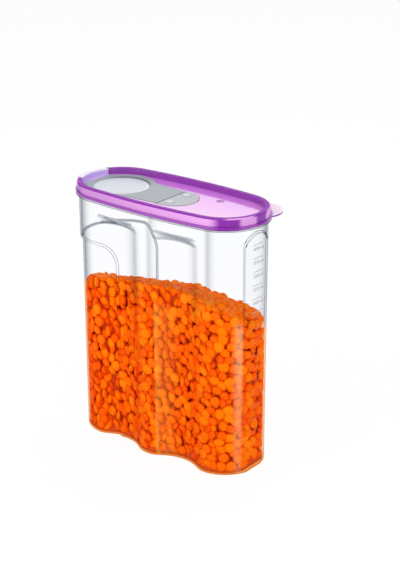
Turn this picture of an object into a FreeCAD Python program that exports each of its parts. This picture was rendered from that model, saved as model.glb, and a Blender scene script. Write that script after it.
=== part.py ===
import FreeCAD, Part
import math
import os
from FreeCAD import Vector

os.makedirs("parts", exist_ok=True)

# Overall sizes in millimetres. X runs along the container to its graduated end, Z is up.
half_length = 113.1
half_width = 48.5
height = 278.1
end_tuck = 3.5          # the round ends' radius is this much under the half width
wall = 1.6
floor = 2.4
fit_gap = 0.3           # between the lid and the body

# Lid: heights are measured down from the rim top
rim_height = 8.5
rim_bevel = 1.2
ledge_height = 2.6
ledge_out = 1.4
deck_depth = 6.5
pocket_depth = 1.1      # sunk place in the deck for the flap
plug_reach = 2.5
tab_angle = 55.0
tab_radius = 23.2
tab_out = 12.8
dimple_from_end = 67.0
dimple_from_side = 27.5
dimple_radius = 4.4
dimple_depth = 0.6

# Pour flap and its fixed tail
head_from_end = 46.6
head_radius = 37.7
dish_radius = 29.8
dish_depth = 1.4
dish_slope = 0.8
dish_plate = 1.2
stopper_drop = 2.4
stopper_wall = 1.4
neck_from_head = 28.5
neck_half = 26.0
hinge_half = 23.5
hinge_gap = 0.5
flap_proud = 0.5
flap_gap = 0.6
flap_lift = 0.2
spout_half = 20.4
spout_wall = 1.4
lip_out = 1.0
lip_plate = 1.4
tail_length = 29.5
tail_half = 24.0
stud_x = 9.0
stud_y = 13.5
stud_radius = 5.5
stud_rise = 1.0
pin_radius = 2.4
pin_gap = 0.1

# Body: draft per side below the flutes' upper edge, bead, flutes, grip step, graduated panel and foot
draft_end = 0.5
draft_side = 2.0
bead_height = 2.4
bead_out = 1.1
bead_bevel = 0.5
lobe_from_end = 34.2    # from the rim's end to the widest place of the end lobes
flute_depth = 11.8
flute_drop = 26.8       # from the rim top to the flutes' upper edge
shoulder_drop = 8.8
crest_share = 0.375     # crest's part of the crest and trough radii together
lobe_turn = 4.0
grip_reach = 66.1
grip_drop = 59.6
grip_corner = 24.0
grip_step = 2.5
panel_inset = 6.1
panel_half = 20.0
panel_drop = 20.6
foot_bevel = 2.2

# Levels, places and offsets that follow from the sizes above
end_radius = half_width - end_tuck
ledge_z = height - rim_height
skirt_z = ledge_z - ledge_height
deck_z = height - deck_depth
pocket_z = deck_z - pocket_depth
neck_z = pocket_z - wall - fit_gap
plug_z = skirt_z - plug_reach
flap_z = deck_z + flap_proud
flute_z = height - flute_drop
shoulder_z = flute_z - shoulder_drop
neck_in = wall + fit_gap
plug_in = 2 * neck_in
rim_width = plug_in + wall
stopper_radius = dish_radius + stopper_wall
pour_radius = stopper_radius + flap_gap
head_x = head_from_end - half_length
neck_x = head_x + neck_from_head
tail_x = tail_length - tail_half
flute_x = (half_length - lobe_from_end) / 2
grip_z = height - grip_drop
beyond = 3 * half_length


def polar(centre, radius, degrees):
    """Point on a circle in plan."""
    turn = math.radians(degrees)
    return centre[0] + radius * math.cos(turn), centre[1] + radius * math.sin(turn)


def bearing(start, end):
    """Direction from one plan point to another, in degrees."""
    return math.degrees(math.atan2(end[1] - start[1], end[0] - start[0]))


def arc(centre, radius, start, end):
    """Start, middle and end points of an arc between two directions."""
    return [polar(centre, radius, turn) for turn in (start, (start + end) / 2, end)]


def ring(arcs, z):
    """Closed wire at height z from the arcs of one quarter, mirrored in both axes."""
    edges = []
    for side_x, side_y in ((1, 1), (1, -1), (-1, -1), (-1, 1)):
        quarter = arcs
        if side_x != side_y:
            quarter = [trio[::-1] for trio in reversed(arcs)]
        for trio in quarter:
            points = [Vector(side_x * x, side_y * y, z) for x, y in trio]
            edges.append(Part.Arc(*points).toShape())
    return Part.Wire(edges)


def oval_turn(a, b, r):
    """Side radius of a four-arc oval and the direction where its side meets its end."""
    side = ((a - r) ** 2 + b ** 2 - r ** 2) / (2 * (b - r))
    return side, math.degrees(math.acos((a - r) / (side - r)))


def rim_wire(offset, z):
    """The lid's rim outline at height z, moved outwards by an offset."""
    a, b, r = half_length + offset, half_width + offset, end_radius + offset
    side, turn = oval_turn(a, b, r)
    return ring([arc((0, b - side), side, 90, turn), arc((a - r, 0), r, turn, 0)], z)


def rim_oval(offset, low, high):
    """Upright prism on the rim outline at an offset."""
    return Part.Face(rim_wire(offset, low)).extrude(Vector(0, 0, high - low))


def body_arcs(z):
    """Centres, radii and directions of the body's outline at height z, before any inset."""
    rise = max(0, 1 - z / flute_z)
    a = half_length - neck_in - draft_end * rise
    b = half_width - neck_in - draft_side * rise
    r = end_radius - neck_in - draft_side * rise
    side, turn = oval_turn(a, b, r)
    depth = flute_depth + side - math.sqrt(side ** 2 - flute_x ** 2)
    both_radii = (flute_x ** 2 + depth ** 2) / (2 * depth)
    crest_radius = crest_share * both_radii
    trough_radius = both_radii - crest_radius
    crest = (0, b - crest_radius)
    trough = (flute_x, b - depth + trough_radius)
    end = (a - r, 0)
    join = turn - lobe_turn
    joint = polar(end, r, join)
    span = (joint[0] - trough[0], joint[1] - trough[1])
    along = span[0] * math.cos(math.radians(join)) + span[1] * math.sin(math.radians(join))
    lobe_radius = (span[0] ** 2 + span[1] ** 2 - trough_radius ** 2) / (2 * (trough_radius + along))
    lobe = polar(end, r - lobe_radius, join)
    oval = ((0, b - side), side, turn, join)
    return oval, (crest, crest_radius), (trough, trough_radius), (lobe, lobe_radius), (end, r)


def fluted(z, inset):
    """Fluted outline: crest, trough, two halves of the lobe and the round end."""
    oval, crest, trough, lobe, end = body_arcs(z)
    join = oval[3]
    first = bearing(crest[0], trough[0])
    second = bearing(trough[0], lobe[0]) + 180
    middle = (second + join) / 2
    return ring([
        arc(crest[0], crest[1] - inset, 90, first),
        arc(trough[0], trough[1] + inset, first - 180, -90),
        arc(trough[0], trough[1] + inset, -90, second - 180),
        arc(lobe[0], lobe[1] - inset, second, middle),
        arc(lobe[0], lobe[1] - inset, middle, join),
        arc(end[0], end[1] - inset, join, 0),
    ], z)


def plain(z, inset):
    """Plain oval outline, divided where the fluted outline is, so that the two can be joined."""
    (middle, side, turn, join), crest, trough, lobe, end = body_arcs(z)
    first = polar(*crest, bearing(crest[0], trough[0]))[0]
    second = polar(*trough, bearing(trough[0], lobe[0]))[0]
    stops = [90] + [math.degrees(math.acos(x / side)) for x in (first, flute_x, second)] + [turn]
    arcs = [arc(middle, side - inset, start, stop) for start, stop in zip(stops, stops[1:])]
    arcs.append(arc(end[0], end[1] - inset, turn, join))
    arcs.append(arc(end[0], end[1] - inset, join, 0))
    return ring(arcs, z)


def shell(inset, low, high, rise, foot):
    """Solid within the body's outline: bevelled at the foot, fluted, and plain above the shoulders."""
    return Part.makeLoft([
        fluted(low, inset + foot),
        fluted(low + foot, inset),
        fluted(grip_z - grip_corner, inset),
        fluted(shoulder_z + rise, inset),
        plain(flute_z + rise, inset),
        plain(high, inset),
    ], True, True)


def grip_region(grow):
    """Everything at the grip end below the grip's top, with a rounded upper corner."""
    x = grip_reach - half_length + grow
    z = grip_z + grow
    r = grip_corner + grow
    bulge = r * (1 - math.sqrt(0.5))
    corner = Part.Arc(
        Vector(x, -beyond, z - r),
        Vector(x - bulge, -beyond, z - bulge),
        Vector(x - r, -beyond, z),
    ).toShape()
    path = [(x - r, z), (-beyond, z), (-beyond, -beyond), (x, -beyond), (x, z - r)]
    points = [Vector(px, -beyond, pz) for px, pz in path]
    sides = [Part.makeLine(start, end) for start, end in zip(points, points[1:])]
    return Part.Face(Part.Wire([corner] + sides)).extrude(Vector(0, 2 * beyond, 0))


def panel_region(grow):
    """Everything beyond the graduated panel's plane, under its round-topped arch."""
    x = half_length - panel_inset - grow
    half = panel_half + grow
    spring = height - panel_drop - panel_half
    arch = Part.Arc(Vector(x, half, spring), Vector(x, 0, spring + half), Vector(x, -half, spring)).toShape()
    path = [(-half, spring), (-half, -beyond), (half, -beyond), (half, spring)]
    points = [Vector(x, y, z) for y, z in path]
    sides = [Part.makeLine(start, end) for start, end in zip(points, points[1:])]
    return Part.Face(Part.Wire([arch] + sides)).extrude(Vector(beyond, 0, 0))


def level_edges(shape, z):
    """Edges that lie in the plane at height z."""
    return [edge for edge in shape.Edges if max(abs(edge.BoundBox.ZMin - z), abs(edge.BoundBox.ZMax - z)) < 1e-4]


def disc(x, y, radius, low, high):
    """Upright round prism."""
    return Part.makeCylinder(radius, high - low, Vector(x, y, low))


def strip(half, low, high):
    """Upright block from the pouring end to the middle of the flap's head."""
    return Part.makeBox(head_x + beyond, 2 * half, high - low, Vector(-beyond, -half, low))


def half_space(x, low):
    """Block that takes in everything from x on and from a height up."""
    return Part.makeBox(beyond, beyond, beyond, Vector(x, -beyond / 2, low))


def tongue(grow, low, high):
    """Tapered neck between the flap's head and its hinge line."""
    side = [(head_x, neck_half + grow), (neck_x, neck_half + grow), (0, hinge_half + grow)]
    points = side + [(x, -y) for x, y in reversed(side)]
    corners = [Vector(x, y, low) for x, y in points]
    return Part.Face(Part.makePolygon(corners + corners[:1])).extrude(Vector(0, 0, high - low))


def tail_plate(grow, low, high):
    """Round-ended plate on the fixed side of the hinge line."""
    half = tail_half + grow
    block = Part.makeBox(tail_x, 2 * half, high - low, Vector(0, -half, low))
    return block.fuse(disc(tail_x, 0, half, low, high).common(half_space(0, low)))


def flap_plan(grow, low, high):
    """Prism of the whole flap in plan: head, tongue, tail and the way to the pouring end."""
    head = disc(head_x, 0, head_radius + grow, low, high)
    return head.fuse([tongue(grow, low, high), tail_plate(grow, low, high), strip(spout_half + grow, low, high)])


# Clear body: outer form and cavity follow the same outlines, a wall apart
outer = shell(0, 0, neck_z, 0, foot_bevel)
outer = outer.cut(grip_region(0).cut(shell(grip_step, 0, neck_z, 0, foot_bevel)))
outer = outer.cut(panel_region(0))
bead = rim_oval(bead_out, skirt_z - bead_height, skirt_z)
bead = bead.makeChamfer(bead_bevel, level_edges(bead, skirt_z - bead_height))
inner_foot = foot_bevel - wall
inner = shell(wall, floor, neck_z + wall, wall / 2, inner_foot)
inner = inner.cut(grip_region(wall).cut(shell(grip_step + wall, floor, neck_z + wall, wall / 2, inner_foot)))
inner = inner.cut(panel_region(wall))
container = outer.fuse(bead).cut(inner).removeSplitter()

# Lid: rim around a sunk deck, ledge with its corner tab, and plug, all hollowed from below
rim = rim_oval(0, skirt_z, height)
rim = rim.makeChamfer(rim_bevel, level_edges(rim, height))
rim = rim.cut(rim_oval(-rim_width, deck_z, height + wall))
tab_reach = end_radius + ledge_out + tab_out - tab_radius
tab_x, tab_y = polar((half_length - end_radius, 0), tab_reach, tab_angle)
tab = disc(tab_x, tab_y, tab_radius, ledge_z - wall, ledge_z)
lid = rim.fuse([rim_oval(ledge_out, skirt_z, ledge_z), tab, rim_oval(-plug_in, plug_z, skirt_z)])
lid = lid.cut(rim_oval(-rim_width, plug_z - wall, deck_z - wall))
lid = lid.cut(rim_oval(-wall, skirt_z - wall, height - wall).cut(rim_oval(-plug_in, skirt_z - wall, height)))

# Lid: sunk place for the flap, pouring gap in the rim with its sill, pour hole, dimple and pins
pocket_floor = flap_plan(flap_gap + wall, pocket_z - wall, deck_z - wall / 2)
sill = strip(spout_half + flap_gap, pocket_z - wall, pocket_z)
lid = lid.fuse([pocket_floor.common(rim_oval(-plug_in, plug_z, height)), sill.common(rim_oval(0, plug_z, height))])
lid = lid.cut(flap_plan(flap_gap, pocket_z, height + wall))
lid = lid.cut(disc(head_x, 0, pour_radius, plug_z, height))
dimple_place = Vector(half_length - dimple_from_end, half_width - dimple_from_side, deck_z - dimple_depth)
lid = lid.cut(Part.makeCone(dimple_radius / 2, dimple_radius, dimple_depth, dimple_place))
for side in (1, -1):
    lid = lid.fuse(disc(stud_x, side * stud_y, pin_radius, pocket_z - wall / 2, flap_z))
lid = lid.removeSplitter()

# Pour flap: plate, stopper with a dish in it, and the upright wall and lip that fill the pouring gap
plate_z = pocket_z + flap_lift
dish_z = flap_z - dish_depth
mouth = strip(spout_half, plate_z, height)
plate = disc(head_x, 0, head_radius, plate_z, flap_z)
plate = plate.fuse([tongue(0, plate_z, flap_z), mouth.common(rim_oval(spout_wall - rim_width, plate_z, flap_z))])
plate = plate.cut(half_space(-hinge_gap / 2, plate_z - beyond / 2))
flap = plate.fuse(disc(head_x, 0, stopper_radius, plate_z - stopper_drop, flap_z))
flap = flap.cut(Part.makeCone(dish_radius - dish_slope, dish_radius, dish_depth, Vector(head_x, 0, dish_z)))
flap = flap.cut(disc(head_x, 0, dish_radius, plug_z - wall, dish_z - dish_plate))
spout = rim_oval(spout_wall - rim_width, plate_z, height)
spout = spout.fuse(rim_oval(lip_out, height - lip_plate, height)).cut(rim_oval(-rim_width, plug_z, height + wall))
flap = flap.fuse(mouth.common(spout)).removeSplitter()

# Fixed tail with its two studs over the lid's pins
tail = tail_plate(0, pocket_z, flap_z).common(half_space(hinge_gap / 2, pocket_z))
for side in (1, -1):
    stud = Part.makeCone(stud_radius, stud_radius - stud_rise, stud_rise, Vector(stud_x, side * stud_y, flap_z))
    tail = tail.fuse(stud)
    tail = tail.cut(disc(stud_x, side * stud_y, pin_radius + pin_gap, pocket_z - wall, flap_z + pin_gap))
tail = tail.removeSplitter()

for name, shape in (("container", container), ("lid", lid), ("pour_flap", flap), ("flap_tail", tail)):
    shape.exportStep("parts/" + name + ".step")
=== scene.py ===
"""Looks of a clear storage container with a purple lid, a translucent pour flap and a fill of lentils."""

import itertools
import math
import random

import bmesh
import bpy
from mathutils import Matrix, Vector
from mathutils.bvhtree import BVHTree


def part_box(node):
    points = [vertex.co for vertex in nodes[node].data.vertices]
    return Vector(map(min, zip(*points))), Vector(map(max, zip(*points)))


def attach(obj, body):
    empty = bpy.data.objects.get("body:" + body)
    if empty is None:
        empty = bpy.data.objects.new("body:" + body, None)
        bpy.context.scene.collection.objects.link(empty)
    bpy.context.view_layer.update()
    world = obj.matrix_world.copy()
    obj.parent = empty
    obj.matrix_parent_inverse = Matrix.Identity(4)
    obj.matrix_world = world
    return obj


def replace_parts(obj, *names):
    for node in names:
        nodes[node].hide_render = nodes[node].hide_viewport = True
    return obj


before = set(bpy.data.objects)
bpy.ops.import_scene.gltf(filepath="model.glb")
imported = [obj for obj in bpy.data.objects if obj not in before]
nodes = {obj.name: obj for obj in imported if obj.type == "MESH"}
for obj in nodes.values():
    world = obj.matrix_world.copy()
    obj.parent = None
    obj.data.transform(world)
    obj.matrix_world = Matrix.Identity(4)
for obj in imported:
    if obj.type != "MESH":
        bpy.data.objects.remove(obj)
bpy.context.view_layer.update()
scene = bpy.context.scene
body_low, body_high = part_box("container")
UP = Vector((0, 0, 1))

# Camera, fitted to the photograph
CAMERA_PLACE = Vector((0.9228, -1.1226, 0.7418))
CAMERA_TARGET = Vector((0.0227, 0.0179, 0.1770))
CAMERA_LENS = 95.5
CAMERA_SENSOR = 36.0

# Floor of the stage, and the light that the world gives
STAGE_SIZE = 30.0
STAGE_DROP = 0.0005
WORLD_LIGHT = 0.55

# Edges of the CAD nodes: rounding, and the angles that count as flat and as an edge
BODY_ROUNDING = 0.0010
LID_ROUNDING = 0.0004
SAME_PLACE = 1e-6
FLAT_ANGLE = math.radians(1)
EDGE_ANGLE = math.radians(22)
FLAT_FACE_WEIGHT = 90

# Size of a lentil
LENTIL_RADIUS = 0.0060
LENTIL_HALF = 0.0026
LENTIL_SMALLEST = 0.88
LENTIL_LARGEST = 1.06

# Lentils against the wall: how closely they lie, and how they lean
LENTIL_APART = 0.0073
LENTIL_LAYER = 0.0038
LENTIL_LOOSE = 0.14
LENTIL_TURN = -0.28
LENTIL_TURN_SPREAD = 0.28
LENTIL_ROLL_SPREAD = 0.4
LENTIL_DROOP = 0.10
LENTIL_TRIES = 16000
LENTIL_TOP = 0.20
LENTIL_UNDER_TOP = 0.5 * LENTIL_HALF
LENTIL_SEED = 7
WALL_GAP = 0.0002

# Lentils that lie flat, on top of the heap and on the floor
FLAT_STEP = 0.0064
FLAT_SHIFT = 0.3
FLAT_LOOSE = 0.35
FLAT_ROOM = 1.05 * LENTIL_RADIUS
# Flat lentils get only the lighter tints: painted light on the top of the heap and on the floor layer.
FLAT_PALEST = 0.5
FLOOR_Z = 0.0025
FLOOR_REST = FLOOR_Z + 1.3 * LENTIL_HALF

# Tint of a lentil: the darkest, what its chance adds, and how much darker its rim is painted as shade
TINT_LEAST = 0.3
TINT_RANGE = 0.7
RIM_SHADE = 0.3
RIM_HEIGHT = 0.4

# Line of the heap along the front wall, as x and z, and its fall towards the back
FILL_LINE = [
    (-0.112, 0.175), (-0.086, 0.178), (-0.055, 0.183), (-0.028, 0.186), (0.005, 0.190),
    (0.036, 0.190), (0.065, 0.186), (0.090, 0.180), (0.112, 0.172),
]
FILL_BACK_SLOPE = 0.33
FILL_FRONT = body_low.y + 0.008

# Round ends of the line from which the wall is measured
END_X = body_high.x - body_high.y + 0.003
END_R = body_high.y - 0.006

# Middle of the heap: its divisions, height, and depth behind the wall
CORE_STEPS = 120
CORE_LEVELS = 40
CORE_HEIGHT = 0.19
CORE_LIFT = 0.0003
CORE_DEEP = 0.0085
CORE_FOOT = 0.0120
CORE_FOOT_SHARE = 0.12
CORE_UNDER_TOP = 0.3 * CORE_DEEP

# Graduation marks on the end panel
GRADUATION_TOP = 0.245
GRADUATION_STEP = 0.0142
GRADUATION_COUNT = 15
GRADUATION_LEFT = -0.005
GRADUATION_LENGTH = 0.016
GRADUATION_LINE = 0.0008
GRADUATION_RISE = 0.0002
GRADUATION_TEXT = 0.0052
GRADUATION_DROP = 0.0062
GRADUATION_FULL = 4000
GRADUATION_PART = 250

# Places where a look changes: each pair is the start and the end of a soft step
WALL_FILL_TOP = (0.152, 0.164)
WALL_FOOT_Z = (0.0030, 0.0042)
WALL_SHOULDER_Z = (0.258, 0.262)
# The next steps place painted highlights on the clear wall, at its end corners and along the crest at the
# front.
CORNER_FROM_X = (0.085, 0.090)
CORNER_FROM_Y = (0.0185, 0.0195)
CORNER_TO_Y = (0.0220, 0.0285)
CORNER_FADE_Z = (-0.09, 0.16)
FRONT_Y = (-0.01, 0.0)
STREAK_FROM_X = (0.0105, 0.0115)
STREAK_TO_X = (0.0132, 0.0142)
SHEEN_FROM_X = (0.0105, 0.0118)
SHEEN_TO_X = (0.0150, 0.0400)
SHINE_TINT_X = (0.055, 0.060)
MARKS_FILL_TOP = (0.168, 0.178)
DECK_FROM_Z = (0.2700, 0.2703)
DECK_TO_Z = (0.2720, 0.2724)
RIM_TOP_Z = (0.2760, 0.2765)
LEDGE_TOP_Z = (0.2694, 0.2698)
TAB_FROM_X = (0.080, 0.085)
SPOUT_END_X = (-0.1035, -0.0985)
SPOUT_WALL_X = (-0.0905, -0.0900)
SPOUT_WALL_Z = (0.2728, 0.2732)
SPOUT_LIP_Z = (0.2764, 0.2768)
TAIL_FROM_X = (-0.004, 0.004)
HINGE_HALF = (0.0006, 0.0011)
RING_SHADE_Y = (0.0, 0.025)
GLINT_FROM_X = (0.010, 0.024)

# Round forms of the lid and its flap
RIM_END_X = 0.0681
RIM_END_R = 0.0450
TAB_FROM_R = (RIM_END_R + 0.0016, RIM_END_R + 0.0024)
DIMPLE_X = 0.0461
DIMPLE_Y = 0.0210
DIMPLE_RADIUS = 0.0048
DISH_X = -0.0665
DISH_RADIUS = 0.0298
STUD_X = 0.0090
STUD_Y = 0.0135
STUD_RADIUS = 0.0055
# Middle of the deck's painted wash of light.
WASH_X = 0.05


class Value:
    """A shader socket that Python's operators work on."""

    def __init__(self, finish, socket):
        self.finish = finish
        self.socket = socket

    def _math(self, operation, first, second):
        return self.finish.add("ShaderNodeMath", {"operation": operation}, {0: first, 1: second})

    def __add__(self, other):
        return self._math("ADD", self, other)

    def __mul__(self, other):
        return self._math("MULTIPLY", self, other)

    def __sub__(self, other):
        return self._math("SUBTRACT", self, other)

    def __rsub__(self, other):
        return self._math("SUBTRACT", other, self)

    def __neg__(self):
        return self * -1.0

    def __abs__(self):
        return self.finish.add("ShaderNodeMath", {"operation": "ABSOLUTE"}, {0: self})

    __radd__ = __add__
    __rmul__ = __mul__


class Finish:
    """A node material that is built up one node at a time."""

    def __init__(self, name, world=False):
        self.holder = bpy.data.worlds.new(name) if world else bpy.data.materials.new(name)
        self.holder.use_nodes = True
        self.tree = self.holder.node_tree
        self.tree.nodes.clear()

    def add(self, kind, settings=None, sockets=None, output=0):
        """Adds a node, sets it up, fills its sockets and returns one of its outputs."""
        node = self.tree.nodes.new(kind)
        for name, setting in (settings or {}).items():
            if name == "stops":
                self._ramp(node.color_ramp, setting)
            else:
                setattr(node, name, setting)
        for name, value in (sockets or {}).items():
            socket = node.inputs[name]
            if isinstance(value, Value):
                self.tree.links.new(value.socket, socket)
            else:
                socket.default_value = value
        return Value(self, node.outputs[output]) if node.outputs else None

    @staticmethod
    def _ramp(ramp, stops):
        while len(ramp.elements) < len(stops):
            ramp.elements.new(1.0)
        for element, (place, colour) in zip(ramp.elements, stops):
            element.position = place
            element.color = colour

    def place(self):
        return self.add("ShaderNodeTexCoord", output="Object")

    def normal(self):
        return self.add("ShaderNodeNewGeometry", output="Normal")

    def parts(self, vector):
        """The three parts of a vector."""
        return [self.add("ShaderNodeSeparateXYZ", None, {0: vector}, output=axis) for axis in "XYZ"]

    def rays(self, *kinds):
        """Whether the ray that arrives is of each kind."""
        return [self.add("ShaderNodeLightPath", output=kind) for kind in kinds]

    def rise(self, value, low, high):
        """Soft step from 0 to 1 between two values."""
        sockets = {"Value": value, "From Min": low, "From Max": high}
        return self.add("ShaderNodeMapRange", {"interpolation_type": "SMOOTHSTEP"}, sockets)

    def fall(self, value, low, high):
        """Soft step from 1 to 0 between two values."""
        return self.rise(-value, -high, -low)

    def past(self, squared, inner, outer):
        """Soft step from 0 to 1 between two radii, for a squared distance."""
        return self.rise(squared, inner ** 2, outer ** 2)

    def within(self, squared, inner, outer):
        """Soft step from 1 to 0 between two radii, for a squared distance."""
        return self.fall(squared, inner ** 2, outer ** 2)

    def noise(self, scale, detail=2.0):
        sockets = {"Vector": self.place(), "Scale": scale, "Detail": detail}
        return self.add("ShaderNodeTexNoise", None, sockets)

    def ramp(self, factor, stops):
        """Colour from a row of stops."""
        return self.add("ShaderNodeValToRGB", {"stops": stops}, {"Fac": factor})

    def mix(self, factor, first, second):
        """Blend of two colours."""
        settings = {"data_type": "RGBA"}
        return self.add("ShaderNodeMix", settings, {0: factor, 6: first, 7: second}, output=2)

    def blend(self, factor, first, second):
        """Blend of two shaders."""
        return self.add("ShaderNodeMixShader", None, {0: factor, 1: first, 2: second})

    def bump(self, height, strength, distance):
        sockets = {"Height": height, "Strength": strength, "Distance": distance}
        return self.add("ShaderNodeBump", None, sockets)

    def principled(self, **sockets):
        """Principled shader; socket names are written with underscores."""
        named = {name.replace("_", " "): value for name, value in sockets.items()}
        return self.add("ShaderNodeBsdfPrincipled", None, named)

    def show(self, shader):
        """Puts a shader on the output and returns the finished material or world."""
        is_world = isinstance(self.holder, bpy.types.World)
        kind = "ShaderNodeOutputWorld" if is_world else "ShaderNodeOutputMaterial"
        self.add(kind, None, {"Surface": shader})
        return self.holder


def squares(first, second):
    """Sum of two squares, which is a squared distance."""
    return first * first + second * second


def clear_plastic(name, edge_tone):
    """Clear wall: greyer where it is seen edge-on, on its rounded edges and on the flutes' shoulders, all
    painted shade; orange at the foot as painted light from the fill; painted highlights in bands at the
    front and the end corners; and tinted like the fill below the top of the heap.
    """
    finish = Finish(name)
    clear = (0.985, 0.988, 0.995, 1.0)
    flow = finish.noise(35.0, 3.0)
    x, y, z = finish.parts(finish.place())
    _, _, tilt = finish.parts(finish.normal())

    above = finish.rise(z + FILL_BACK_SLOPE * y, *WALL_FILL_TOP)
    # Painted light: the foot takes the edge colour, orange under the heap, standing in for the fill's light
    # carried through the floor slab.
    foot = finish.fall(z, *WALL_FOOT_Z)
    # Painted shade on the tilted shoulders of the flutes, above the heap.
    shoulder_shade = finish.rise(tilt * tilt, 0.02, 0.5) * finish.fall(z, *WALL_SHOULDER_Z) * above
    # Painted shade: greyer where the wall is seen edge-on, and along the rounded edges when edge_tone is
    # given.
    facing = finish.add("ShaderNodeLayerWeight", None, {"Blend": 0.5}, output="Facing")
    along = finish.rise(facing, 0.32, 1.0)
    grey = along + edge_tone * (0.15 + 0.85 * above) + 0.9 * foot + 0.2 * shoulder_shade
    wall = finish.mix(above, (1.0, 0.90, 0.68, 1.0), clear)
    # Edge colour: orange under the heap as painted light from the fill, grey above it as painted shade.
    edge = finish.mix(above, (0.82, 0.23, 0.03, 1.0), (0.31, 0.34, 0.39, 1.0))
    solid = finish.principled(
        Base_Color=finish.mix(grey, wall, edge),
        Roughness=0.005 + 0.01 * flow,
        IOR=1.02,
        Transmission_Weight=1.0,
    )

    # Painted highlights: warm light bands at the end corners and along the crest at the front, added below
    # the top of the heap.
    beside = abs(y)
    corner_highlight = finish.rise(x, *CORNER_FROM_X)
    corner_highlight = corner_highlight * finish.rise(beside, *CORNER_FROM_Y) * finish.fall(beside, *CORNER_TO_Y)
    streak_highlight = finish.rise(x, *STREAK_FROM_X) * finish.fall(x, *STREAK_TO_X)
    sheen = finish.rise(x, *SHEEN_FROM_X) * finish.fall(x, *SHEEN_TO_X)
    front = finish.fall(y, *FRONT_Y)
    shine = 0.19 * corner_highlight * finish.rise(z, *CORNER_FADE_Z) + front * (0.10 * streak_highlight + 0.06 * sheen)
    at_end = finish.rise(x + 0.01 * flow, *SHINE_TINT_X)
    painted_shine = finish.principled(
        Base_Color=finish.mix(at_end, (1.0, 0.60, 0.08, 1.0), (1.0, 0.70, 0.34, 1.0)),
        Roughness=0.3,
    )
    solid = finish.blend(shine * (1.0 - above), solid, painted_shine)

    passing = finish.add("ShaderNodeBsdfTransparent", None, {"Color": clear})
    shadow, diffuse = finish.rays("Is Shadow Ray", "Is Diffuse Ray")
    return finish.show(finish.blend(shadow + diffuse, solid, passing))


def purple_plastic():
    """Glossy purple with painted highlights on the rim's walls and painted shade in the dimple; the thin
    deck and the tab's top are painted paler, for light that comes through them and, on the deck, its glare.
    """
    finish = Finish("purple_plastic")
    cloud = finish.noise(18.0, 4.0)
    grain = finish.noise(900.0, 2.0)
    x, y, z = finish.parts(finish.place())
    side_x, side_y, side_z = finish.parts(finish.normal())

    # Painted highlights: the rim's outer walls are paler on the flat sides, more so towards +x, and at the
    # arcs; the inner walls a little.
    outward = side_x * x + side_y * y
    outer = finish.rise(outward, 0.02, 0.04)
    inner = finish.fall(outward, -0.04, -0.02)
    turned = side_y * side_y
    flat = finish.rise(turned, 0.72, 0.95)
    corner_highlight = finish.rise(turned, 0.01, 0.05) * finish.fall(turned, 0.25, 0.36)
    above_ledge = 0.2 + 0.8 * finish.rise(z, *LEDGE_TOP_Z)
    rim_highlight = outer * above_ledge * ((0.72 + 2.2 * x) * flat + 0.72 * corner_highlight) + 0.10 * inner
    body = finish.mix(cloud, (0.20, 0.004, 0.32, 1.0), (0.25, 0.008, 0.38, 1.0))
    colour = finish.mix(rim_highlight, body, (0.88, 0.42, 0.86, 1.0))

    below_rim = finish.fall(z, *DECK_TO_Z)
    deck = finish.rise(side_z, 0.7, 0.9) * finish.rise(z, *DECK_FROM_Z) * below_rim
    # Painted light on the deck: a paler wash, lightest towards the front and +x, for the light that comes
    # through the thin deck and its glare.
    deck_light = finish.ramp(0.5 + 2.0 * (x - WASH_X) - 9.0 * y + 0.2 * cloud, [
        (0.1, (0.58, 0.18, 0.68, 1.0)),
        (0.5, (0.60, 0.22, 0.66, 1.0)),
        (0.95, (0.68, 0.36, 0.62, 1.0)),
    ])
    colour = finish.mix(deck, colour, deck_light)

    # Painted shade: the dimple is darker, and has no coat.
    dimple = finish.within(squares(x - DIMPLE_X, y - DIMPLE_Y), 0.9 * DIMPLE_RADIUS, DIMPLE_RADIUS)
    colour = finish.mix(dimple * below_rim, colour, (0.36, 0.08, 0.42, 1.0))

    # Painted light: the top of the tab is paler, for light coming through it.
    tab = finish.rise(x, *TAB_FROM_X) * finish.past(squares(x - RIM_END_X, y), *TAB_FROM_R)
    colour = finish.mix(0.9 * tab * finish.rise(side_z, 0.5, 0.8), colour, (0.80, 0.66, 0.76, 1.0))

    top = finish.rise(side_z, 0.3, 0.6) * finish.rise(z, *RIM_TOP_Z)
    return finish.show(finish.principled(
        Base_Color=colour,
        Roughness=0.14 + 0.10 * cloud + 0.3 * top,
        IOR=1.4,
        Coat_Weight=0.1 * (1.0 - top) + 0.5 * deck * (1.0 - dimple),
        Coat_IOR=1.7,
        Coat_Roughness=0.06,
        Normal=finish.bump(grain, 0.04, 0.0004),
    ))


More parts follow.
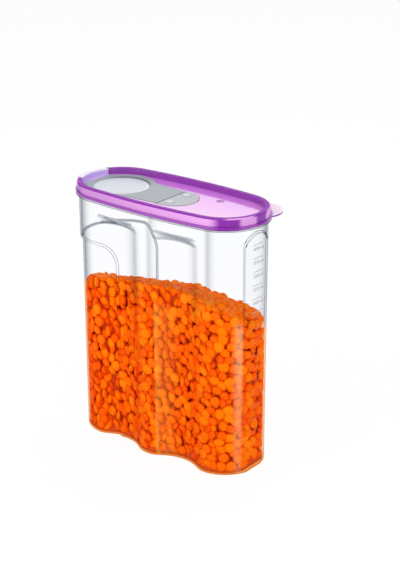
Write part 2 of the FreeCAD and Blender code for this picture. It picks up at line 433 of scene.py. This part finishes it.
def natural_plastic():
    """Milky grey, lighter in the thin dish and lilac where the spout wall stands against the rim; painted
    highlights on the studs, the dish and the spout's lip, and painted shade in the hinge gap and on the
    dish's far edge.
    """
    finish = Finish("natural_plastic")
    cloud = finish.noise(25.0, 3.0)
    grain = finish.noise(700.0, 2.0)
    x, y, z = finish.parts(finish.place())

    tail = finish.rise(x, *TAIL_FROM_X)
    colour = finish.mix(0.3 * cloud + 0.5 * tail, (0.31, 0.35, 0.39, 1.0), (0.58, 0.59, 0.62, 1.0))
    # Painted shade: a dark line in the gap along the hinge, where the flap meets the tail.
    hinge = finish.within(x * x, *HINGE_HALF)
    colour = finish.mix(0.7 * hinge, colour, (0.05, 0.05, 0.06, 1.0))

    from_dish = squares(x - DISH_X, y)
    dish = finish.within(from_dish, 0.95 * DISH_RADIUS, DISH_RADIUS)
    # The studs get a painted highlight, in the same light grey as the dish.
    stud = finish.within(squares(x - STUD_X, abs(y) - STUD_Y), 0.5 * STUD_RADIUS, STUD_RADIUS)
    colour = finish.mix(0.9 * dish + 0.8 * stud, colour, (0.70, 0.74, 0.79, 1.0))

    inside = finish.within(from_dish, 1.01 * DISH_RADIUS, 1.03 * DISH_RADIUS)
    glint = finish.past(from_dish, 0.84 * DISH_RADIUS, 0.92 * DISH_RADIUS) * inside
    glint = glint * finish.rise(x - DISH_X, *GLINT_FROM_X)
    colour = finish.mix(0.8 * glint, colour, (0.95, 0.96, 0.98, 1.0))
    # Painted shade: a dark ring on the dish's far edge, towards +y.
    ring = finish.past(from_dish, 0.93 * DISH_RADIUS, 0.97 * DISH_RADIUS) * inside
    colour = finish.mix(ring * finish.rise(y, *RING_SHADE_Y), colour, (0.16, 0.18, 0.21, 1.0))

    spout = finish.fall(x, *SPOUT_WALL_X) * finish.rise(z, *SPOUT_WALL_Z)
    spout = finish.fall(x, *SPOUT_END_X) + spout
    # The whitish top of the spout's lip is a painted highlight.
    lilac = finish.mix(finish.rise(z, *SPOUT_LIP_Z), (0.70, 0.50, 1.0, 1.0), (0.90, 0.85, 0.97, 1.0))
    return finish.show(finish.principled(
        Base_Color=finish.mix(0.9 * spout, colour, lilac),
        Roughness=0.30 + 0.12 * cloud,
        IOR=1.5,
        Transmission_Weight=0.2,
        Normal=finish.bump(grain, 0.05, 0.0004),
    ))


def frosted_plastic():
    """Faint grey of the graduation marks, fainter where the fill lies behind them."""
    finish = Finish("frosted_plastic")
    cloud = finish.noise(600.0)
    _, _, z = finish.parts(finish.place())
    above = finish.rise(z, *MARKS_FILL_TOP)
    return finish.show(finish.principled(
        Base_Color=finish.mix(cloud, (0.36, 0.38, 0.42, 1.0), (0.46, 0.48, 0.52, 1.0)),
        Roughness=0.5,
        Alpha=(0.3 + 0.2 * cloud) * (0.1 + 0.9 * above),
    ))


def lentil_skin():
    """Matt orange, from red to yellow by each lentil's tint, which holds a painted shade on its rim."""
    finish = Finish("lentil_skin")
    tint = finish.add("ShaderNodeAttribute", {"attribute_name": "tint"}, output="Fac")
    shade = finish.ramp(tint, [
        (0.0, (0.80, 0.055, 0.0, 1.0)),
        (0.35, (0.95, 0.118, 0.0, 1.0)),
        (0.6, (1.0, 0.168, 0.0, 1.0)),
        (0.9, (1.0, 0.240, 0.0, 1.0)),
        (1.0, (1.0, 0.27, 0.002, 1.0)),
    ])
    speck = finish.noise(900.0, 3.0)
    return finish.show(finish.principled(
        Base_Color=finish.mix(0.25 * speck, shade, (0.85, 0.12, 0.0, 1.0)),
        Roughness=0.5,
        Specular_IOR_Level=0.05,
        Normal=finish.bump(speck, 0.15, 0.0004),
    ))


def lentil_shade():
    """Deep red-orange of the lentils further in, painted shade on the sheet that stands in for them."""
    finish = Finish("lentil_shade")
    lump = finish.noise(220.0, 3.0)
    return finish.show(finish.principled(
        Base_Color=finish.mix(lump, (0.60, 0.050, 0.0, 1.0), (0.85, 0.100, 0.0, 1.0)),
        Roughness=0.8,
        Normal=finish.bump(lump, 0.6, 0.003),
    ))


def pale_floor():
    """Matt white floor that the camera sees as nearly pure white."""
    finish = Finish("pale_floor")
    grain = finish.noise(40.0)
    matt = finish.principled(
        Base_Color=finish.mix(grain, (0.93, 0.93, 0.93, 1.0), (0.95, 0.95, 0.95, 1.0)),
        Roughness=1.0,
        Specular_IOR_Level=0.0,
    )
    white = finish.add("ShaderNodeEmission", None, {"Color": (1.0, 1.0, 1.0, 1.0), "Strength": 1.0})
    direct, glossy, through = finish.rays("Is Camera Ray", "Is Glossy Ray", "Is Transmission Ray")
    settings = {"operation": "ADD", "use_clamp": True}
    seen = finish.add("ShaderNodeMath", settings, {0: direct + glossy, 1: through})
    return finish.show(finish.blend(0.93 * seen, matt, white))


def studio_world():
    """Even white light, seen as pure white by the camera and through the clear wall."""
    finish = Finish("studio_world", world=True)
    direct, through = finish.rays("Is Camera Ray", "Is Transmission Ray")
    return finish.show(finish.add("ShaderNodeBackground", None, {
        "Color": (1.0, 1.0, 1.0, 1.0),
        "Strength": WORLD_LIGHT + (1.0 - WORLD_LIGHT) * (direct + through),
    }))


def mesh_piece(name, bm, material, body, smooth=True):
    """Turns a finished bmesh into a piece that rides on a body."""
    mesh = bpy.data.meshes.new(name)
    bm.to_mesh(mesh)
    bm.free()
    for polygon in mesh.polygons:
        polygon.use_smooth = smooth
    mesh.materials.append(material)
    piece = bpy.data.objects.new(name, mesh)
    scene.collection.objects.link(piece)
    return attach(piece, body)


def fill_height(x, y):
    """Height of the heap of lentils over a place in the container."""
    z = FILL_LINE[-1][1]
    for (x0, z0), (x1, z1) in zip(FILL_LINE, FILL_LINE[1:]):
        if x <= x1:
            share = max(0.0, (x - x0) / (x1 - x0))
            z = z0 + share * (z1 - z0)
            break
    return z - FILL_BACK_SLOPE * max(0.0, y - FILL_FRONT)


def floor_height(_x, _y):
    """Height of the lentils that rest on the container's floor, the same everywhere."""
    return FLOOR_REST


def wall_ray(share, z):
    """Start and direction of a ray to the wall at a share of the way round the container."""
    side = 2 * END_X
    arc = math.pi * END_R
    run = (share % 1.0) * 2 * (side + arc)
    turned = run >= side + arc
    run -= turned * (side + arc)
    sign = -1 if turned else 1
    if run < side:
        return Vector((sign * (END_X - run), 0, z)), Vector((0, sign, 0))
    angle = (run - side) / END_R
    return Vector((-sign * END_X, 0, z)), Vector((-sign * math.sin(angle), sign * math.cos(angle), 0))


def loose_axis(normal, looseness, chance):
    """Direction near a normal, for a lentil that lies loosely against something."""
    return (normal + looseness * Vector([chance.gauss(0, 1) for _ in range(3)])).normalized()


def half_along(axis, direction):
    """Half of the largest lentil's size along a direction."""
    lean = axis.dot(direction) ** 2
    return math.sqrt((LENTIL_LARGEST * LENTIL_RADIUS) ** 2 * (1 - lean) + LENTIL_HALF ** 2 * lean)


def apart(at, cells):
    """Notes a place unless another one lies too close to it."""
    cell = [math.floor(part / LENTIL_APART) for part in at]
    for shift in itertools.product((-1, 0, 1), repeat=3):
        for other in cells.get(tuple(map(sum, zip(cell, shift))), ()):
            if (at - other).length < LENTIL_APART:
                return False
    cells.setdefault(tuple(cell), []).append(at)
    return True


def wall_lentils(chance, layer):
    """Places of one layer of lentils against the container's wall, thrown in at random and kept apart."""
    found = []
    cells = {}
    for _ in range(LENTIL_TRIES):
        start, direction = wall_ray(chance.random(), chance.uniform(FLOOR_Z, LENTIL_TOP))
        hit, normal, _, _ = wall_tree.ray_cast(start, direction)
        normal = -normal if normal.dot(direction) > 0 else normal
        turn = chance.gauss(LENTIL_TURN, LENTIL_TURN_SPREAD)
        roll = Matrix.Rotation(chance.gauss(0.0, LENTIL_ROLL_SPREAD), 3, direction)
        across = roll @ UP.cross(-direction)
        lying = math.sin(turn) * across - math.cos(turn) * direction + LENTIL_DROOP * UP
        axis = loose_axis(lying, LENTIL_LOOSE, chance)
        at = hit + normal * (WALL_GAP + half_along(axis, normal) + layer * LENTIL_LAYER)
        at.z = max(at.z, FLOOR_Z + half_along(axis, UP))
        if at.z < fill_height(at.x, at.y) - LENTIL_UNDER_TOP and apart(at, cells):
            found.append((at, axis, chance.random()))
    return found


def flat_lentils(chance, height, slope):
    """Places of a level of lentils that lie flat: the top of the heap, or what rests on the floor."""
    found = []
    for column in range(int((body_high.x - body_low.x) / FLAT_STEP)):
        for row in range(int((body_high.y - body_low.y) / FLAT_STEP)):
            x = body_low.x + (column + 0.5 * (row % 2) + chance.uniform(-FLAT_SHIFT, FLAT_SHIFT)) * FLAT_STEP
            y = body_low.y + (row + chance.uniform(-FLAT_SHIFT, FLAT_SHIFT)) * FLAT_STEP
            at = Vector((x, y, height(x, y)))
            start = Vector((max(-END_X, min(END_X, x)), 0, at.z))
            way = at - start
            hit, _, _, distance = wall_tree.ray_cast(start, way.normalized())
            axis = loose_axis(Vector((0, slope, 1)), FLAT_LOOSE, chance)
            at.z = max(at.z, FLOOR_Z + half_along(axis, UP))
            if hit is not None and distance > way.length + FLAT_ROOM:
                # Lighter tint as painted light.
                found.append((at, axis, chance.uniform(FLAT_PALEST, 1.0)))
    return found


def lentil_fill(name, places, material):
    """One piece of many small lentils, with a tint for each and a painted shade on its rim."""
    bm = bmesh.new()
    bmesh.ops.create_uvsphere(bm, u_segments=12, v_segments=6, radius=1)
    bm.faces.layers.float.new("tint")
    single = bpy.data.meshes.new("single_lentil")
    bm.to_mesh(single)
    bm.free()
    # Painted shade on the faces round each lentil's rim.
    rim_shades = [RIM_SHADE * (abs(polygon.center.z) < RIM_HEIGHT) for polygon in single.polygons]
    bm = bmesh.new()
    for at, axis, shade in places:
        turn = UP.rotation_difference(axis).to_matrix().to_4x4()
        radius = LENTIL_RADIUS * (LENTIL_SMALLEST + (LENTIL_LARGEST - LENTIL_SMALLEST) * shade)
        scale = Matrix.Diagonal((radius, radius, LENTIL_HALF, 1))
        tints = [TINT_LEAST + TINT_RANGE * shade - rim for rim in rim_shades]
        lentil = single.copy()
        lentil.transform(Matrix.Translation(at) @ turn @ scale)
        lentil.attributes["tint"].data.foreach_set("value", tints)
        bm.from_mesh(lentil)
        bpy.data.meshes.remove(lentil)
    bpy.data.meshes.remove(single)
    return mesh_piece(name, bm, material, "container")


def lentil_core(material):
    """Middle of the heap, seen only in the gaps between lentils."""
    bm = bmesh.new()
    ring = bmesh.ops.create_circle(bm, segments=CORE_STEPS, radius=1)["verts"]
    for level in range(CORE_LEVELS + 1):
        z = FLOOR_Z + CORE_LIFT + CORE_HEIGHT * level / CORE_LEVELS
        if level:
            upper = set(ring)
            edges = [edge for edge in bm.edges if upper.issuperset(edge.verts)]
            grown = bmesh.ops.extrude_edge_only(bm, edges=edges)["geom"]
            new = [vertex for vertex in grown if isinstance(vertex, bmesh.types.BMVert)]
            ring = [min(new, key=lambda vertex, old=old: (vertex.co - old.co).length) for old in ring]
        depth = CORE_DEEP * min(1.0, CORE_FOOT_SHARE + (z - FLOOR_Z) / CORE_FOOT)
        for number, vertex in enumerate(ring):
            start, direction = wall_ray(number / CORE_STEPS, z)
            hit = wall_tree.ray_cast(start, direction)[0]
            vertex.co = hit - direction * depth
            vertex.co.z = min(z, fill_height(vertex.co.x, vertex.co.y) - CORE_UNDER_TOP)
    bmesh.ops.holes_fill(bm, edges=[edge for edge in bm.edges if edge.is_boundary])
    bmesh.ops.recalc_face_normals(bm, faces=bm.faces)
    return mesh_piece("lentil_core", bm, material, "container")


def graduations(material):
    """Raised lines and plain numbers on the flat end panel."""
    panel_x = wall_tree.ray_cast(Vector((1, 0, GRADUATION_TOP)), Vector((-1, 0, 0)))[0].x
    face = Matrix(((0, 0, 1, panel_x), (1, 0, 0, 0), (0, 1, 0, 0), (0, 0, 0, 1)))
    size = Matrix.Diagonal((GRADUATION_LENGTH, GRADUATION_LINE, 2 * GRADUATION_RISE, 1))
    bm = bmesh.new()
    for number in range(GRADUATION_COUNT):
        z = GRADUATION_TOP - number * GRADUATION_STEP
        middle = Vector((GRADUATION_LEFT + GRADUATION_LENGTH / 2, z, 0))
        bmesh.ops.create_cube(bm, size=1, matrix=face @ Matrix.Translation(middle) @ size)
        text = bpy.data.curves.new("number", "FONT")
        text.body = str(GRADUATION_FULL - number * GRADUATION_PART) + " ml"
        text.size = GRADUATION_TEXT
        text.extrude = GRADUATION_RISE
        text.resolution_u = 2
        holder = bpy.data.objects.new("number", text)
        scene.collection.objects.link(holder)
        bpy.context.view_layer.update()
        letters = bpy.data.meshes.new_from_object(holder)
        letters.transform(face @ Matrix.Translation((GRADUATION_LEFT, z - GRADUATION_DROP, 0)))
        bm.from_mesh(letters)
        bpy.data.objects.remove(holder)
        bpy.data.curves.remove(text)
        bpy.data.meshes.remove(letters)
    return mesh_piece("graduations", bm, material, "container", smooth=False)


def rounded(node, body, width, material, edge_material=None):
    """Copy of a CAD node whose edges are slightly rounded, shown in its place."""
    bm = bmesh.new()
    bm.from_mesh(nodes[node].data)
    bmesh.ops.remove_doubles(bm, verts=bm.verts, dist=SAME_PLACE)
    bmesh.ops.dissolve_limit(bm, angle_limit=FLAT_ANGLE, verts=bm.verts, edges=bm.edges)
    piece = mesh_piece(node + "_round", bm, material, body)
    bevel = piece.modifiers.new("edges", "BEVEL")
    bevel.width = width
    bevel.segments = 2
    bevel.limit_method = "ANGLE"
    bevel.angle_limit = EDGE_ANGLE
    if edge_material:
        piece.data.materials.append(edge_material)
        bevel.material = 1
        bevel.use_clamp_overlap = False
    weigh = piece.modifiers.new("normals", "WEIGHTED_NORMAL")
    weigh.weight = FLAT_FACE_WEIGHT
    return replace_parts(piece, node)


def stage_floor(material):
    """Large plane just under the container."""
    bm = bmesh.new()
    bmesh.ops.create_grid(bm, x_segments=1, y_segments=1, size=STAGE_SIZE)
    mesh = bpy.data.meshes.new("floor")
    bm.to_mesh(mesh)
    bm.free()
    mesh.materials.append(material)
    floor = bpy.data.objects.new("floor", mesh)
    floor.location.z = -STAGE_DROP
    scene.collection.objects.link(floor)


def look_at(piece, place, target):
    """Puts a lamp or camera at a place and points it at a target."""
    piece.location = place
    piece.rotation_euler = (target - place).to_track_quat("-Z", "Y").to_euler()


def softbox(name, place, target, width, depth, power):
    """Soft rectangular lamp."""
    light = bpy.data.lights.new(name, "AREA")
    light.shape = "RECTANGLE"
    light.size = width
    light.size_y = depth
    light.energy = power
    lamp = bpy.data.objects.new(name, light)
    scene.collection.objects.link(lamp)
    look_at(lamp, Vector(place), Vector(target))


# Container, lid and flap
wall_tree = BVHTree.FromObject(nodes["container"], bpy.context.evaluated_depsgraph_get())
natural = natural_plastic()
clear_wall = clear_plastic("clear_plastic", edge_tone=0.0)
# The rounded edges of the body get this greyer copy, as painted shade.
clear_edge = clear_plastic("clear_edge", edge_tone=0.8)
rounded("container", "container", BODY_ROUNDING, clear_wall, clear_edge)
rounded("lid", "lid", LID_ROUNDING, purple_plastic())
rounded("pour_flap", "flap", LID_ROUNDING, natural)
rounded("flap_tail", "lid", LID_ROUNDING, natural)
graduations(frosted_plastic())

# Lentils
chance = random.Random(LENTIL_SEED)
skin = lentil_skin()
lentil_fill("lentils_outer", wall_lentils(chance, 0), skin)
lentil_fill("lentils_inner", wall_lentils(chance, 1), skin)
lentil_fill("lentils_top", flat_lentils(chance, fill_height, FILL_BACK_SLOPE), skin)
lentil_fill("lentils_bottom", flat_lentils(chance, floor_height, 0.0), skin)
# The core sheet is painted in shade for the lentils further in.
lentil_core(lentil_shade())

# Stage, light and camera
stage_floor(pale_floor())
scene.world = studio_world()
softbox("back_panel", place=(-0.85, 1.05, 0.78), target=(0.0, 0.0, 0.27), width=1.3, depth=0.5, power=2.0)
softbox("front_key", place=(-0.5, -1.6, 1.3), target=(0.0, 0.0, 0.12), width=0.9, depth=0.9, power=13.0)
softbox("side_fill", place=(1.5, -0.7, 0.9), target=(0.0, 0.0, 0.12), width=0.8, depth=0.8, power=8.0)
softbox("overhead", place=(0.0, 0.6, 2.6), target=(0.0, 0.6, 0.0), width=3.0, depth=3.0, power=30.0)

camera = bpy.data.objects.new("camera", bpy.data.cameras.new("camera"))
camera.data.lens = CAMERA_LENS
camera.data.sensor_width = CAMERA_SENSOR
scene.collection.objects.link(camera)
look_at(camera, CAMERA_PLACE, CAMERA_TARGET)
scene.camera = camera
scene.view_settings.view_transform = "Standard"
